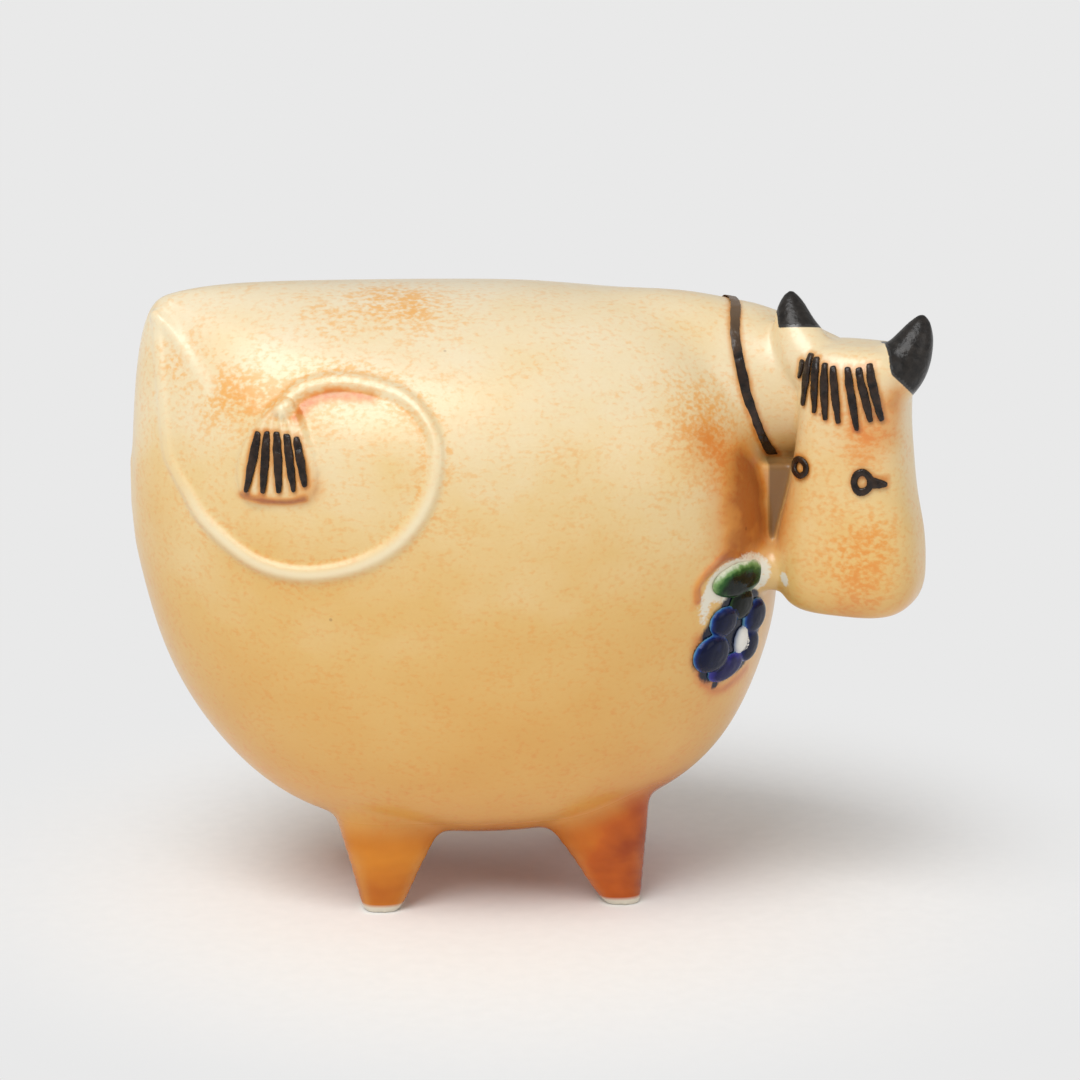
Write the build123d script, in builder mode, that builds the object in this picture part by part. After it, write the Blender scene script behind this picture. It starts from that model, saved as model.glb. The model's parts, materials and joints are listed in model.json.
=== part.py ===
from build123d import *
from math import atan2, copysign, cos, radians, sin
import os

os.makedirs("parts", exist_ok=True)

# Driving sizes of the cow, in millimetres
# The cow looks along +X, the side with the tail is -Y, and the feet stand on Z zero.
body_length = 124.0
body_width = 80.0
body_height = 105.8
belly_height = 12.0
wall = 5.0
vent_radius = 2.5

foot_length = 8.0
foot_depth = 8.0
leg_outer_face = 22.0
leg_length_at_belly = 21.0
leg_depth_at_belly = 15.0

head_reach = 25.7
head_gap = 11.3
head_side_shift = 20.0
head_bottom = 57.0
head_height = 52.0
head_half_width = 13.9
head_front = 11.0
head_back = 9.6
head_wall = 4.5

neck_length = 31.0
neck_half_width = 14.3
neck_half_height = 16.0
neck_centre_height = 98.8
collar_set_back = 6.2

horn_root_radius = 5.6
horn_spread = 12.9
horn_side_shift = 1.4
horn_rise = 60.4
horn_set_back = 3.5

tail_width = 3.2
tail_relief = 0.9
tuft_relief = 1.0
slip_relief = 0.5
collar_width = 1.7
collar_relief = 0.5
stroke_width = 1.25
eye_radius = 1.95
eye_line = 0.9
eye_tail_length = 2.3
eye_tail_width = 1.5

web_depth = 8.0
pad_radius = 4.2

flower_unit = 5.0
petal_relief = 1.7
overrun = 10.0

# Angles, in degrees
head_turn = 26.0
head_roll = 0.5

# Places that follow from the sizes
body_rear = -(body_length + head_reach) / 2
chest = body_rear + body_length
head_x = chest + head_gap
outline_count = 20


# Outlines

def oval(half_width, above, below, upper_power, lower_power):
    """Points around an oval whose upper and lower halves have their own height and squareness."""
    points = []
    for step in range(outline_count):
        angle = radians(360 * step / outline_count - 90)
        across = cos(angle)
        along = sin(angle)
        power = upper_power if along > 0 else lower_power
        reach = above if along > 0 else below
        u = half_width * copysign(abs(across) ** (2 / power), across)
        v = reach * copysign(abs(along) ** (2 / power), along)
        points.append((u, v))
    return points


def moved(points, across, along):
    """The same outline with its middle in another place."""
    return [(u + across, v + along) for u, v in points]


def ribbon(path, half_widths):
    """Points around a ribbon that follows a path and is as wide as stated at each point of it."""
    left = []
    right = []
    last = len(path) - 1
    for index, (u, v) in enumerate(path):
        before = path[max(index - 1, 0)]
        after = path[min(index + 1, last)]
        angle = atan2(after[1] - before[1], after[0] - before[0])
        across = half_widths[index]
        left.append((u - across * sin(angle), v + across * cos(angle)))
        right.append((u + across * sin(angle), v - across * cos(angle)))
    return left, right


# Body
# Each row: place along the body, half width, widest level, top, underside, squareness above and below.
body_shares = [
    (0.000, 0.040, 0.650, 0.690, 0.610, 1.80, 2.0),
    (0.0065, 0.150, 0.650, 0.770, 0.530, 1.70, 2.0),
    (0.017, 0.245, 0.650, 0.890, 0.470, 1.60, 2.0),
    (0.037, 0.362, 0.650, 0.967, 0.380, 1.50, 2.1),
    (0.0685, 0.487, 0.650, 0.992, 0.287, 1.55, 2.2),
    (0.120, 0.630, 0.655, 1.002, 0.190, 1.70, 2.3),
    (0.200, 0.780, 0.660, 1.006, 0.095, 1.85, 2.5),
    (0.320, 0.915, 0.665, 1.004, 0.028, 1.95, 2.7),
    (0.480, 0.995, 0.665, 1.000, 0.001, 2.00, 2.8),
    (0.620, 0.990, 0.655, 0.995, 0.003, 2.00, 2.8),
    (0.750, 0.915, 0.630, 0.982, 0.032, 2.00, 2.6),
    (0.850, 0.790, 0.600, 0.945, 0.088, 2.00, 2.4),
    (0.920, 0.620, 0.570, 0.855, 0.168, 2.00, 2.2),
    (0.968, 0.410, 0.530, 0.755, 0.280, 2.00, 2.1),
    (0.990, 0.230, 0.500, 0.650, 0.362, 2.00, 2.0),
    (1.000, 0.050, 0.490, 0.530, 0.450, 2.00, 2.0),
]


def body_form(grow):
    """The body as one smooth solid, grown or shrunk by the same margin on every side."""
    length = body_length + 2 * grow
    half_width = body_width / 2 + grow
    height = body_height + 2 * grow
    start = body_rear - grow
    base = belly_height - grow
    with BuildPart() as form:
        for place, wide, level, top, under, upper_power, lower_power in body_shares:
            points = oval(
                wide * half_width,
                (top - level) * height,
                (level - under) * height,
                upper_power,
                lower_power,
            )
            with BuildSketch(Plane.YZ.offset(start + place * length)):
                with BuildLine():
                    Spline(*moved(points, 0, base + level * height), periodic=True)
                make_face()
        loft()
    return form.part


# Neck
# Each row: place ahead of the collar, side shift, half width, half height, rise, turn in degrees.
neck_squareness = 2.1
neck_shares = [
    (-1.25, 0.00, 1.15, 1.04, -0.03, 0),
    (-0.60, 0.02, 1.15, 1.09, 0.00, -3),
    (-0.02, 0.13, 1.00, 0.95, -0.03, -14),
    (0.33, 0.40, 0.80, 0.74, -0.05, -32),
    (0.62, 0.75, 0.56, 0.56, -0.11, -48),
]


def neck_form(grow):
    """The neck as one smooth solid from inside the body to inside the head."""
    with BuildPart() as form:
        for ahead, aside, wide, tall, rise, turn in neck_shares:
            angle = radians(turn)
            place = Plane(
                origin=(
                    chest - collar_set_back + ahead * neck_length,
                    -aside * head_side_shift,
                    neck_centre_height + rise * neck_half_height,
                ),
                x_dir=(-sin(angle), cos(angle), 0),
                z_dir=(cos(angle), sin(angle), 0),
            )
            points = oval(
                wide * neck_half_width + grow,
                tall * neck_half_height + grow,
                tall * neck_half_height + grow,
                neck_squareness,
                neck_squareness,
            )
            with BuildSketch(place):
                with BuildLine():
                    Spline(*points, periodic=True)
                make_face()
        loft()
    return form.part


# Head
# Each row: place up the head, half width, reach to the front and reach to the back.
head_shares = [
    (0.000, 0.30, 0.28, 0.30),
    (0.013, 0.60, 0.58, 0.62),
    (0.048, 0.85, 0.86, 0.88),
    (0.107, 0.97, 0.97, 0.97),
    (0.192, 1.00, 1.00, 0.97),
    (0.320, 0.965, 0.96, 0.95),
    (0.450, 0.860, 0.91, 0.97),
    (0.577, 0.790, 0.87, 1.00),
    (0.727, 0.735, 0.83, 1.02),
    (0.860, 0.735, 0.79, 1.02),
    (0.935, 0.725, 0.71, 0.97),
    (0.975, 0.660, 0.57, 0.84),
    (0.994, 0.500, 0.40, 0.62),
    (1.000, 0.330, 0.26, 0.40),
]
head_squareness = 2.9
head_place = Location((head_x, -head_side_shift, head_bottom), (0, head_roll, -head_turn))


def head_plane(across, back, up, tilt=(0, 0, 0)):
    """A sketch plane in the head's own directions: across the face, to the back and up."""
    return Plane(head_place * Location((across, back, up), tilt))


def head_form(grow):
    """The head from muzzle to poll as one smooth solid."""
    height = head_height + 2 * grow
    with BuildPart() as form:
        for place, wide, front, back in head_shares:
            points = oval(
                wide * (head_half_width + grow),
                back * (head_back + grow),
                front * (head_front + grow),
                head_squareness,
                head_squareness,
            )
            with BuildSketch(head_plane(0, 0, place * height - grow)):
                with BuildLine():
                    Spline(*points, periodic=True)
                make_face()
        loft()
    return form.part


body_core = body_form(0)
body_hollow = body_form(-wall)
neck_core = neck_form(0)
neck_hollow = neck_form(-head_wall)
head_core = head_form(0)
head_hollow = head_form(-head_wall)

# The seam at the collar, seen from the side
# Each row: place ahead of the chest in neck half widths, height above the neck's middle in half heights.
seam_shares = [
    (-0.46, 1.40),
    (-0.58, 1.06),
    (-0.70, 0.80),
    (-0.68, 0.38),
    (-0.56, -0.10),
    (-0.40, -0.48),
    (-0.23, -0.75),
    (0.02, -1.05),
    (0.26, -1.40),
]
seam_path = [
    (chest + ahead * neck_half_width, neck_centre_height + rise * neck_half_height)
    for ahead, rise in seam_shares
]
with BuildPart() as ahead_of_seam:
    with BuildSketch(Plane.XZ.offset(-body_width)):
        with BuildLine():
            Spline(*seam_path)
            Polyline(
                seam_path[-1],
                (chest + 2 * neck_length, seam_path[-1][1]),
                (chest + 2 * neck_length, seam_path[0][1]),
                seam_path[0],
            )
        make_face()
    extrude(amount=2 * body_width)

with BuildPart() as neck_behind_seam:
    add(neck_core)
    add(ahead_of_seam.part, mode=Mode.SUBTRACT)

with BuildPart() as neck_before_seam:
    add(neck_core)
    add(ahead_of_seam.part, mode=Mode.INTERSECT)

with BuildPart() as hollow:
    add(body_hollow)
    add(neck_hollow)
    add(head_hollow)

with BuildPart() as body_shell:
    add(body_core)
    add(neck_behind_seam.part)
    add(hollow.part, mode=Mode.SUBTRACT)
    with Locations((0, 0, belly_height)):
        Cylinder(vent_radius, 2 * wall + overrun, mode=Mode.SUBTRACT)
body_shell.part.label = "body_shell"
export_step(body_shell.part, "parts/body_shell.step")

with BuildPart() as head:
    add(head_core)
    add(neck_before_seam.part)
    add(body_core, mode=Mode.SUBTRACT)
    add(hollow.part, mode=Mode.SUBTRACT)
head.part.label = "head"
export_step(head.part, "parts/head.step")


# Legs
# Each row: height as a share of the belly height, length and depth between foot and belly shares.
leg_shares = [
    (0.00, -0.09, -0.12),
    (0.09, 0.00, 0.00),
    (0.62, 0.38, 0.36),
    (1.05, 0.72, 0.70),
    (1.40, 1.00, 1.00),
    (1.75, 1.12, 1.15),
    (2.15, 0.90, 1.00),
]
leg_squareness = 2.6
leg_place_shares = [
    ("leg_rear_near", 0.371, 0.388, -1),
    ("leg_rear_far", 0.371, 0.388, 1),
    ("leg_front_near", 0.740, 0.702, -1),
    ("leg_front_far", 0.740, 0.702, 1),
]
for leg_name, foot_share, top_share, side in leg_place_shares:
    with BuildPart() as leg:
        for rise, longer, deeper in leg_shares:
            long_half = (foot_length + longer * (leg_length_at_belly - foot_length)) / 2
            deep_half = (foot_depth + deeper * (leg_depth_at_belly - foot_depth)) / 2
            along_share = foot_share + longer * (top_share - foot_share)
            points = oval(long_half, deep_half, deep_half, leg_squareness, leg_squareness)
            middle = side * (leg_outer_face - deep_half)
            with BuildSketch(Plane.XY.offset(rise * belly_height)):
                with BuildLine():
                    Spline(*moved(points, body_rear + along_share * body_length, middle), periodic=True)
                make_face()
        loft()
        add(body_core, mode=Mode.SUBTRACT)
    leg.part.label = leg_name
    export_step(leg.part, f"parts/{leg_name}.step")

# Horns
# Each row: out, back and up as shares of the horn's reach, radius, lean in degrees.
horn_shares = [
    (0.47, 0.00, 0.768, 1.00, 55),
    (0.69, 0.14, 0.814, 0.98, 48),
    (0.85, 0.34, 0.866, 0.83, 32),
    (0.945, 0.63, 0.926, 0.60, 16),
    (0.985, 0.86, 0.970, 0.36, 8),
    (0.998, 0.96, 0.992, 0.16, 4),
    (1.00, 1.00, 1.000, 0.05, 2),
]
horn_place_shares = [("horn_near", 1, 0.96), ("horn_far", -1, 1.00)]
horn_made = []
for horn_name, side, rise_share in horn_place_shares:
    with BuildPart() as horn:
        for out, back, up, radius, lean in horn_shares:
            aside = side * out * horn_spread - horn_side_shift
            height = up * rise_share * horn_rise
            with BuildSketch(head_plane(aside, back * horn_set_back, height, (0, side * lean, 0))):
                Circle(radius * horn_root_radius)
        loft()
        add(head.part, mode=Mode.SUBTRACT)
        add(hollow.part, mode=Mode.SUBTRACT)
    horn.part.label = horn_name
    horn_made.append(horn.part)
    export_step(horn.part, f"parts/{horn_name}.step")

# Collar line
with BuildPart() as collar_line:
    with BuildSketch(Plane.XZ.offset(-body_width)):
        with BuildLine():
            left, right = ribbon(seam_path, [collar_width / 2] * len(seam_path))
            Spline(*left)
            Spline(*right)
            Line(left[0], right[0])
            Line(left[-1], right[-1])
        make_face()
    extrude(amount=2 * body_width)
    add(neck_form(collar_relief), mode=Mode.INTERSECT)
    add(neck_core, mode=Mode.SUBTRACT)
    add(body_core, mode=Mode.SUBTRACT)
collar_line.part.label = "collar_line"
export_step(collar_line.part, "parts/collar_line.step")

# Joints of clay between the head and the chest
web_middle_share = 0.62
web_low_share = 0.10
web_high_share = 0.54
with BuildPart() as throat_web:
    with BuildSketch(Plane.XZ.offset(web_middle_share * head_side_shift - web_depth / 2)):
        with Locations((chest, head_bottom + (web_low_share + web_high_share) / 2 * head_height)):
            Rectangle(2 * head_gap, (web_high_share - web_low_share) * head_height)
    extrude(amount=web_depth)
    add(body_core, mode=Mode.SUBTRACT)
    add(neck_core, mode=Mode.SUBTRACT)
    add(collar_line.part, mode=Mode.SUBTRACT)
    add(head.part, mode=Mode.SUBTRACT)
    add(hollow.part, mode=Mode.SUBTRACT)
throat_web.part.label = "throat_web"
export_step(throat_web.part, "parts/throat_web.step")

pad_side_share = 0.90
pad_height_share = 0.16
with BuildPart() as chin_pad:
    with BuildSketch(Plane.YZ.offset(chest - head_gap)):
        with Locations((-pad_side_share * head_side_shift, head_bottom + pad_height_share * head_height)):
            Circle(pad_radius)
    extrude(amount=2 * head_gap)
    add(body_core, mode=Mode.SUBTRACT)
    add(head.part, mode=Mode.SUBTRACT)
    add(hollow.part, mode=Mode.SUBTRACT)
    add(throat_web.part, mode=Mode.SUBTRACT)
chin_pad.part.label = "chin_pad"
export_step(chin_pad.part, "parts/chin_pad.step")


# Dark slip lines

stroke_place_shares = [0.0, 0.25, 0.5, 0.75, 1.0]
stroke_width_shares = [0.60, 0.95, 1.00, 0.80, 0.40]


def stroke(start, end):
    """Draws the outline of one brush stroke, thick near its start and thin at its end."""
    path = []
    for share in stroke_place_shares:
        across = start[0] + share * (end[0] - start[0])
        path.append((across, start[1] + share * (end[1] - start[1])))
    left, right = ribbon(path, [share * stroke_width / 2 for share in stroke_width_shares])
    Spline(*left)
    Spline(*right)
    Line(left[0], right[0])
    Line(left[-1], right[-1])


face_tilt = (90, 0, 0)
head_slip = head_form(slip_relief)

# Fringe: each row is where a stroke starts and ends, across and up the head.
fringe_shares = [
    (-0.645, 0.945, -0.70, 0.880),
    (-0.52, 0.972, -0.585, 0.790),
    (-0.42, 0.965, -0.39, 0.773),
    (-0.285, 0.950, -0.225, 0.754),
    (-0.16, 0.942, -0.035, 0.744),
    (0.045, 0.944, 0.225, 0.725),
    (0.19, 0.946, 0.405, 0.760),
    (0.33, 0.960, 0.535, 0.762),
]
for number, (start_u, start_v, end_u, end_v) in enumerate(fringe_shares, 1):
    with BuildPart() as fringe_stroke:
        with BuildSketch(head_plane(0, 0, 0, face_tilt)):
            with BuildLine():
                stroke(
                    (start_u * head_half_width, start_v * head_height),
                    (end_u * head_half_width, end_v * head_height),
                )
            make_face()
        extrude(amount=2 * head_front)
        add(head_slip, mode=Mode.INTERSECT)
        add(head_core, mode=Mode.SUBTRACT)
        for horn_part in horn_made:
            add(horn_part, mode=Mode.SUBTRACT)
    fringe_stroke.part.label = f"fringe_stroke_{number}"
    export_step(fringe_stroke.part, f"parts/fringe_stroke_{number}.step")

# Eyes: each row is a name, the place across and up the head, and whether the line trails off.
eye_place_shares = [
    ("eye_near", 0.325, 0.537, True),
    ("eye_far", -0.585, 0.562, False),
]
for eye_name, across_share, up_share, trails in eye_place_shares:
    with BuildPart() as eye:
        with BuildSketch(head_plane(across_share * head_half_width, 0, up_share * head_height, face_tilt)):
            Circle(eye_radius)
            if trails:
                Rectangle(eye_radius + eye_tail_length, eye_tail_width, align=(Align.MIN, Align.CENTER))
            Circle(eye_radius - eye_line, mode=Mode.SUBTRACT)
        extrude(amount=2 * head_front)
        add(head_slip, mode=Mode.INTERSECT)
        add(head_core, mode=Mode.SUBTRACT)
    eye.part.label = eye_name
    export_step(eye.part, f"parts/{eye_name}.step")


# Tail and tuft, raised on the near side of the body

def on_side(along_share, up_share):
    """A place on the side of the body, by shares of its length and height."""
    return (body_rear + along_share * body_length, belly_height + up_share * body_height)


tuft_shares = [
    (0.216, 0.848),
    (0.182, 0.806),
    (0.160, 0.696),
    (0.168, 0.680),
    (0.212, 0.682),
    (0.260, 0.694),
    (0.268, 0.712),
    (0.254, 0.810),
    (0.236, 0.848),
]
with BuildPart() as tail_tuft:
    with BuildSketch(Plane.XZ):
        with BuildLine():
            Spline(*[on_side(along, up) for along, up in tuft_shares], periodic=True)
        make_face()
    extrude(amount=body_width)
    add(body_form(tuft_relief), mode=Mode.INTERSECT)
    add(body_core, mode=Mode.SUBTRACT)
tail_tuft.part.label = "tail_tuft"
export_step(tail_tuft.part, "parts/tail_tuft.step")

# Tail: each row is a place on the side of the body and the tail's width there.
tail_shares = [
    (0.0455, 0.952, 0.45),
    (0.0450, 0.912, 0.50),
    (0.0485, 0.826, 0.55),
    (0.0545, 0.744, 0.60),
    (0.0640, 0.714, 0.65),
    (0.0830, 0.680, 0.75),
    (0.1110, 0.630, 0.90),
    (0.1770, 0.573, 1.00),
    (0.2460, 0.557, 1.00),
    (0.3230, 0.575, 1.00),
    (0.3875, 0.620, 1.00),
    (0.4320, 0.691, 1.00),
    (0.4480, 0.768, 1.00),
    (0.4400, 0.817, 1.00),
    (0.4080, 0.859, 1.00),
    (0.3540, 0.881, 0.95),
    (0.3000, 0.884, 0.90),
    (0.2520, 0.869, 0.90),
    (0.2250, 0.840, 0.90),
]
with BuildPart() as tail:
    with BuildSketch(Plane.XZ):
        with BuildLine():
            tail_path = [on_side(along, up) for along, up, wide in tail_shares]
            left, right = ribbon(tail_path, [wide * tail_width / 2 for along, up, wide in tail_shares])
            Spline(*left)
            Spline(*right)
            Line(left[0], right[0])
            Line(left[-1], right[-1])
        make_face()
    extrude(amount=body_width)
    add(body_form(tail_relief), mode=Mode.INTERSECT)
    add(body_core, mode=Mode.SUBTRACT)
    add(tail_tuft.part, mode=Mode.SUBTRACT)
tail.part.label = "tail"
export_step(tail.part, "parts/tail.step")

# Strokes on the tuft
tuft_stroke_shares = [
    (0.188, 0.800, 0.168, 0.698),
    (0.201, 0.802, 0.192, 0.698),
    (0.215, 0.803, 0.216, 0.702),
    (0.229, 0.800, 0.237, 0.706),
    (0.243, 0.797, 0.254, 0.716),
]
tuft_slip = body_form(tuft_relief + slip_relief)
for number, (start_u, start_v, end_u, end_v) in enumerate(tuft_stroke_shares, 1):
    with BuildPart() as tuft_stroke:
        with BuildSketch(Plane.XZ):
            with BuildLine():
                stroke(on_side(start_u, start_v), on_side(end_u, end_v))
            make_face()
        extrude(amount=body_width)
        add(tuft_slip, mode=Mode.INTERSECT)
        add(body_core, mode=Mode.SUBTRACT)
        add(tail_tuft.part, mode=Mode.SUBTRACT)
    tuft_stroke.part.label = f"tuft_stroke_{number}"
    export_step(tuft_stroke.part, f"parts/tuft_stroke_{number}.step")

# Flower on the chest
flower_along_share = 0.728
flower_height_share = 0.414
flower_turn = 46.0
flower_along, flower_level = on_side(flower_along_share, flower_height_share)
flower_start = Vector(flower_along, 0, flower_level)
flower_way = Vector(cos(radians(flower_turn)), -sin(radians(flower_turn)), 0)
flower_hits = body_core.find_intersection_points(Axis(flower_start, flower_way))
flower_spot, flower_normal = max(flower_hits, key=lambda hit: (hit[0] - flower_start).dot(flower_way))
flower_plane = Plane(origin=flower_spot, x_dir=flower_way.rotate(Axis.Z, 90), z_dir=flower_normal)

# Each row: name, place across and up, half size across and up, turn in degrees, relief.
flower_shares = [
    ("flower_centre", 0.18, -0.58, 0.36, 0.52, 0, 1.10),
    ("flower_petal_1", -0.96, 0.39, 0.70, 0.58, 0, 1.00),
    ("flower_petal_2", -1.36, -0.84, 0.86, 0.72, 0, 1.00),
    ("flower_petal_3", 0.96, 0.18, 0.75, 0.68, 0, 1.00),
    ("flower_petal_4", 0.84, -0.96, 0.60, 0.66, 0, 0.95),
    ("flower_petal_5", -0.40, -1.58, 0.95, 0.50, 10, 0.80),
    ("flower_stem", 0.00, 0.90, 0.70, 0.62, 0, 0.85),
    ("flower_leaf", -0.15, 1.93, 1.50, 0.64, 0, 0.75),
]
dome_shares = [(-1.4, 1.0), (0.0, 1.0), (0.55, 0.86), (0.87, 0.58), (1.0, 0.22)]
flower_made = []
for flower_name, across, up, wide, tall, turn, relief in flower_shares:
    spot = Plane(flower_plane.location * Location((across * flower_unit, up * flower_unit, 0), (0, 0, turn)))
    with BuildPart() as flower_piece:
        for level, spread in dome_shares:
            with BuildSketch(spot.offset(level * relief * petal_relief)):
                Ellipse(spread * wide * flower_unit, spread * tall * flower_unit)
        loft()
        add(body_core, mode=Mode.SUBTRACT)
        add(chin_pad.part, mode=Mode.SUBTRACT)
        for other in flower_made:
            add(other, mode=Mode.SUBTRACT)
    flower_piece.part.label = flower_name
    flower_made.append(flower_piece.part)
    export_step(flower_piece.part, f"parts/{flower_name}.step")
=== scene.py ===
# %% [markdown]
# A stoneware cow, about 150 mm long, cast hollow, luted together from clay parts and glazed in one
# firing. The CAD parts give every place and size. Here they are turned into one soft glazed skin, the
# slip lines are trailed on top, and the flower on the chest is built up from thick coloured glaze.

# %% Load the CAD parts
import json
import math
import bpy
import numpy as np
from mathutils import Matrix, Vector, noise
from mathutils.bvhtree import BVHTree

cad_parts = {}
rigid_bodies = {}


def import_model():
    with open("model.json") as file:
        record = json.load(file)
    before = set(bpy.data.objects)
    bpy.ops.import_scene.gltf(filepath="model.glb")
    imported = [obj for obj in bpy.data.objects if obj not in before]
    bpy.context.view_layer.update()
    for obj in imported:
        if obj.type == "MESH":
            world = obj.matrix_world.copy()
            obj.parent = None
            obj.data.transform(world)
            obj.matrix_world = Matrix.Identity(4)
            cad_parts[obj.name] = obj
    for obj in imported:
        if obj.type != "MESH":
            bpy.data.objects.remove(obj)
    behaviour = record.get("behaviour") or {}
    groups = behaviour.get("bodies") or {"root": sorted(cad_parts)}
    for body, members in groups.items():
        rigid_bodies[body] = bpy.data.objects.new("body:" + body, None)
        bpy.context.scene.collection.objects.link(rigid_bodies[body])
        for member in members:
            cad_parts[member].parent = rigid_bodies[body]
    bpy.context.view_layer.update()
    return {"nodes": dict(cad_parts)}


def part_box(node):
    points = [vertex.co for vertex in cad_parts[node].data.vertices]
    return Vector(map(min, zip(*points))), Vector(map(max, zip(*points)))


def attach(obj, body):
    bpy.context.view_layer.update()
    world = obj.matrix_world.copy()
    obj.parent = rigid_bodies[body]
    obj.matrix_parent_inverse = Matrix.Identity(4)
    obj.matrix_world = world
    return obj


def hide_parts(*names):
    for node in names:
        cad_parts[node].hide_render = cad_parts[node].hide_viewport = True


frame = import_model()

MM = 0.001

# %% [markdown]
# Three helpers do by code what a hand does in the window: pick objects alone, apply a modifier, and copy
# CAD parts into one new mesh. The CAD meshes are loose triangles, so a copy has its doubled points
# merged. The CAD objects themselves are never changed.

# %% Helpers
SAME_POINT = 0.001 * MM


def pick(*objects):
    """Selects these objects alone and makes the first one active."""
    bpy.ops.object.select_all(action="DESELECT")
    for o in objects:
        o.select_set(True)
    bpy.context.view_layer.objects.active = objects[0]


def apply_modifier(o, kind, **settings):
    """Adds a modifier, sets it and applies it."""
    pick(o)
    m = o.modifiers.new(kind.lower(), kind)
    for key, value in settings.items():
        setattr(m, key, value)
    bpy.ops.object.modifier_apply(modifier=m.name)


def copy_nodes(name, nodes):
    """One new mesh from copies of CAD nodes, with doubled points merged."""
    pick(*[frame["nodes"][n] for n in nodes])
    bpy.ops.object.duplicate()
    bpy.ops.object.parent_clear(type="CLEAR_KEEP_TRANSFORM")
    if len(nodes) > 1:
        bpy.ops.object.join()
    o = bpy.context.view_layer.objects.active
    o.name = name
    pick(o)
    bpy.ops.object.transform_apply(location=True, rotation=True, scale=True)
    o.data.materials.clear()
    bpy.ops.object.mode_set(mode="EDIT")
    bpy.ops.mesh.select_all(action="SELECT")
    bpy.ops.mesh.remove_doubles(threshold=SAME_POINT)
    bpy.ops.object.mode_set(mode="OBJECT")
    return o


print("CAD parts to copy from:", len(frame["nodes"]))

# %% [markdown]
# The skin. A potter sponges every joint smooth and the glaze rounds what is left, so the casting, the
# legs and the horns read as one surface. Booleans and bevels could join them, but a bevel is hard to lead
# round a seam where three parts meet. So the parts are simply joined, a plug shuts the vent a little way
# up so that the hollow is sealed, and a voxel remesh, which fills what is sealed, makes one even outer
# mesh. The tail is raised on it later.

# %% One skin from the clay parts
LEGS = ["leg_rear_near", "leg_rear_far", "leg_front_near", "leg_front_far"]
HORNS = ["horn_near", "horn_far"]
CLAY = ["body_shell", "head", "throat_web", "chin_pad", "tail", "tail_tuft"] + LEGS + HORNS
SKIN_CELL = 0.55 * MM
PLUG_RADIUS = 4 * MM
PLUG_DEPTH = 6 * MM
PLUG_HEIGHT = 17.5 * MM

skin = copy_nodes("skin", [n for n in CLAY if n != "tail"])
bpy.ops.mesh.primitive_cylinder_add(radius=PLUG_RADIUS, depth=PLUG_DEPTH, location=(0, 0, PLUG_HEIGHT))
plug = bpy.context.active_object
pick(skin, plug)
bpy.ops.object.join()
apply_modifier(skin, "REMESH", mode="VOXEL", voxel_size=SKIN_CELL)
print("skin points:", len(skin.data.vertices))

# %% [markdown]
# To know where two parts meet, each point of the skin is measured against the CAD parts. A BVH tree,
# which sorts a mesh into boxes within boxes, makes that quick.

# %% Distances from the CAD parts
trees = {}
for n in frame["nodes"]:
    mesh = frame["nodes"][n].data
    trees[n] = BVHTree.FromPolygons([v.co for v in mesh.vertices], [p.vertices for p in mesh.polygons])


def points_mm(o):
    """All points of a mesh in millimetres."""
    flat = np.empty(3 * len(o.data.vertices))
    o.data.vertices.foreach_get("co", flat)
    return flat.reshape(-1, 3) / MM


def gap_mm(node, reach):
    """Distance of each point of the skin from a CAD node, no more than reach, in millimetres."""
    hits = [trees[node].find_nearest(v.co, reach * MM)[3] for v in skin.data.vertices]
    return np.array([reach if h is None else h / MM for h in hits])


print("trees:", len(trees))

# %% [markdown]
# Joints. Each leg flows into the belly with a soft hollow curve, and the horns grow out of the crown.
# Points near both of two neighbouring parts are smoothed together, most where they meet, as a wet sponge
# does it. A Smooth modifier held by a vertex group does this without moving the rest.

# %% Soften the joints
SMOOTH_SHARE = 0.5
LEAST_WEIGHT = 0.01


def smooth(o, rounds, **settings):
    """Smooths a mesh in rounds."""
    apply_modifier(o, "SMOOTH", factor=SMOOTH_SHARE, iterations=rounds, **settings)


def sponge(o, weights, rounds):
    """Smooths a mesh where the weights are above zero."""
    group = o.vertex_groups.new(name="sponge")
    for i in np.flatnonzero(weights > LEAST_WEIGHT):
        group.add([int(i)], float(min(1, weights[i])), "REPLACE")
    smooth(o, rounds, vertex_group=group.name)
    o.vertex_groups.clear()


# Two parts that meet, how far from both of them the sponge reaches in millimetres, and its rounds
JOINTS = [(leg, "body_shell", 5, 60) for leg in LEGS]
JOINTS += [(horn, "head", 2.5, 14) for horn in HORNS]
for part in ("head", "body_shell"):
    JOINTS += [("chin_pad", part, 3, 20), ("throat_web", part, 1.2, 6)]
JOINTS += [("head", "body_shell", 3, 15)]

for a, b, reach, rounds in JOINTS:
    farther = np.maximum(gap_mm(a, reach), gap_mm(b, reach))
    sponge(skin, 2 - 2 * farther / reach, rounds)
print("joints softened:", len(JOINTS))

# %% [markdown]
# The neck swells out of the shoulders over a broad patch above and behind the collar, so that one is
# sponged by its place. A few rounds all over then take away the steps of the remesh, as the glaze does.

# %% Round the shoulder
# Millimetres along X and up Z over which the patch fades in and out
SHOULDER_START = (0, 10)
SHOULDER_END = (46, 38)
SHOULDER_FOOT = (84, 92)
SHOULDER_ROUNDS = 400
GLAZE_ROUNDS = 5


def soft_step(low, high, values):
    """0 at low, 1 at high, smooth between."""
    t = np.clip((values - low) / (high - low), 0, 1)
    return t * t * (3 - 2 * t)


x, _, z = points_mm(skin).T
shoulder = soft_step(*SHOULDER_START, x) * soft_step(*SHOULDER_END, x) * soft_step(*SHOULDER_FOOT, z)
sponge(skin, shoulder, SHOULDER_ROUNDS)
smooth(skin, GLAZE_ROUNDS)
print("points on the shoulder:", int((shoulder > 0).sum()))

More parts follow.
